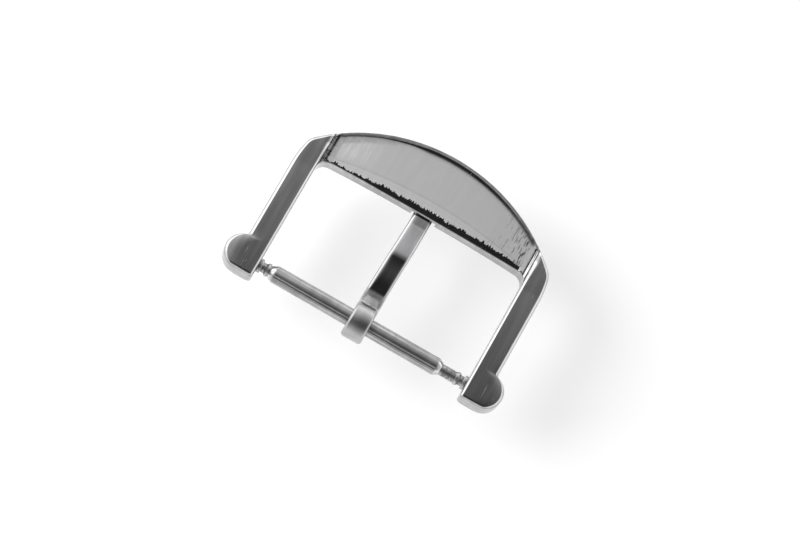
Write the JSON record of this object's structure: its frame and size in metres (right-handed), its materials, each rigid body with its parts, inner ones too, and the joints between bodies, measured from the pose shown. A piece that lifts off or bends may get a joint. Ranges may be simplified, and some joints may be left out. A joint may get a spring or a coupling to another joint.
{
  "type": "watch tang buckle",
  "caption": "Watch strap tang buckle with a domed crossbar, two straight arms with round lugs, a rolled tang and a sprung bar.",
  "frame": {"origin": "middle of the spring bar's axis, halfway between the lugs' inner faces", "axes": "+X along the spring bar, +Y from the bar to the crossbar, +Z out of the buckle's back, the side that faces the wrist"},
  "size_m": [0.0266, 0.018, 0.0032],
  "materials": {
    "frame_steel": "polished",
    "tang_steel": "polished",
    "tube_steel": "satin",
    "plunger_steel": "turned",
    "spring_steel": "drawn"
  },
  "bodies": {
    "frame": {"frame": "frame_steel"},
    "tang": {"tang": "tang_steel"},
    "left_plunger": {"left_plunger": "plunger_steel"},
    "right_plunger": {"right_plunger": "plunger_steel"},
    "spring": {"return_spring": "spring_steel"},
    "tube": {"tube": "tube_steel"}
  },
  "joints": [
    {"name": "tang_swing", "type": "hinge", "parent": "frame", "child": "tang", "pos_m": [0, 0, 0], "axis": [1, 0, 0], "range_deg": [-351, 0]},
    {"name": "left_plunger_slide", "type": "slide", "parent": "frame", "child": "left_plunger", "axis": [1, 0, 0], "range_m": [0, 0.0007], "stiffness_N_per_m": 600, "springref_m": -0.003, "deforming": ["return_spring"]},
    {"name": "right_plunger_slide", "type": "slide", "parent": "frame", "child": "right_plunger", "axis": [-1, 0, 0], "range_m": [0, 0.0007], "stiffness_N_per_m": 600, "springref_m": -0.003, "deforming": ["return_spring"]},
    {"name": "spring_follow", "type": "slide", "parent": "frame", "child": "spring", "axis": [1, 0, 0], "range_m": [0, 0.0007]},
    {"name": "tube_spin", "type": "hinge", "parent": "spring", "child": "tube", "pos_m": [0, 0, 0], "axis": [1, 0, 0], "continuous": true}
  ],
  "couplings": [
    {"joint": "spring_follow", "follows": "left_plunger_slide", "ratio": 1}
  ]
}
